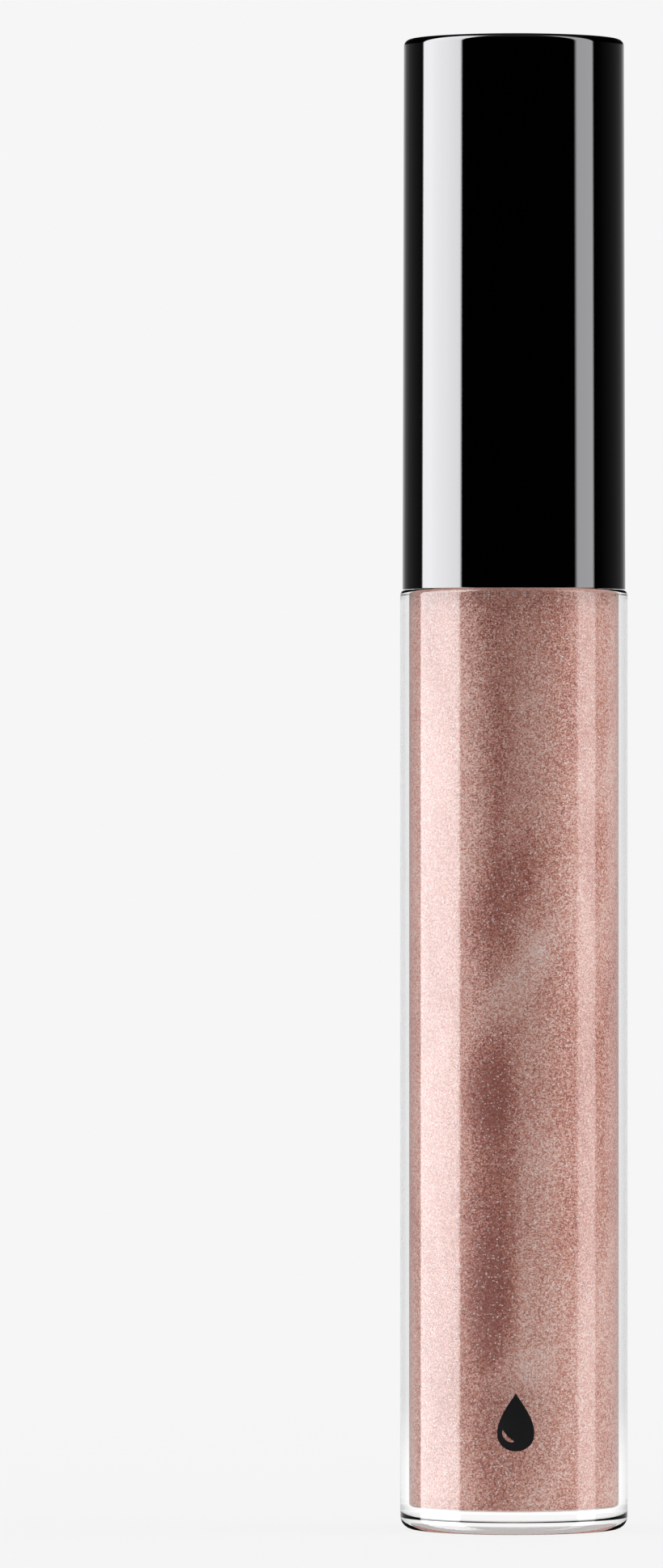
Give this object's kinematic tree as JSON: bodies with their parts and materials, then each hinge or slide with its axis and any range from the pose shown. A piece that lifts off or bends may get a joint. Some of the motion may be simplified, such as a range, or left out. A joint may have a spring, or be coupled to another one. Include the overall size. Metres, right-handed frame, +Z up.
{
  "type": "lip gloss tube",
  "caption": "Clear heavy-walled cylindrical lip gloss bottle with threaded neck, wiper and shimmering gloss, closed by a tall black screw cap carrying a stem and a flocked applicator tip.",
  "frame": {"origin": "centre of the bottle's flat base, on the tube's axis", "axes": "+Z up the axis towards the cap, -Y the front with the printed drop, +X to the right seen from the front"},
  "size_m": [0.017, 0.0171, 0.1113],
  "materials": {
    "clear_plastic": "polished, clear",
    "gloss": "pearlescent rose liquid with fine shimmer",
    "wiper_plastic": "natural translucent, satin",
    "print_ink": "screen-printed ink",
    "seal_foam": "fine foam",
    "black_gloss_plastic": "high gloss",
    "black_satin_plastic": "satin moulded",
    "tip_plastic": "soft moulded",
    "flock": "short flocked fibre, wet with gloss"
  },
  "bodies": {
    "bottle": {"bottle": "clear_plastic", "gloss_fill": "gloss", "wiper": "wiper_plastic", "printed_drop": "print_ink"},
    "liner": {"seal_liner": "seal_foam"},
    "applicator": {"cap_shell": "black_gloss_plastic", "inner_cap": "black_satin_plastic", "stem": "black_gloss_plastic", "tip_core": "tip_plastic", "tip_flock": "flock"}
  },
  "joints": [
    {"name": "applicator_lift", "type": "slide", "parent": "bottle", "child": "liner", "axis": [0, 0, 1], "range_m": [0, 0.075], "deforming": ["wiper"]},
    {"name": "cap_turn", "type": "hinge", "parent": "liner", "child": "applicator", "pos_m": [0, 0, 0.0702], "axis": [0, 0, 1], "range_deg": [0, 540]}
  ]
}
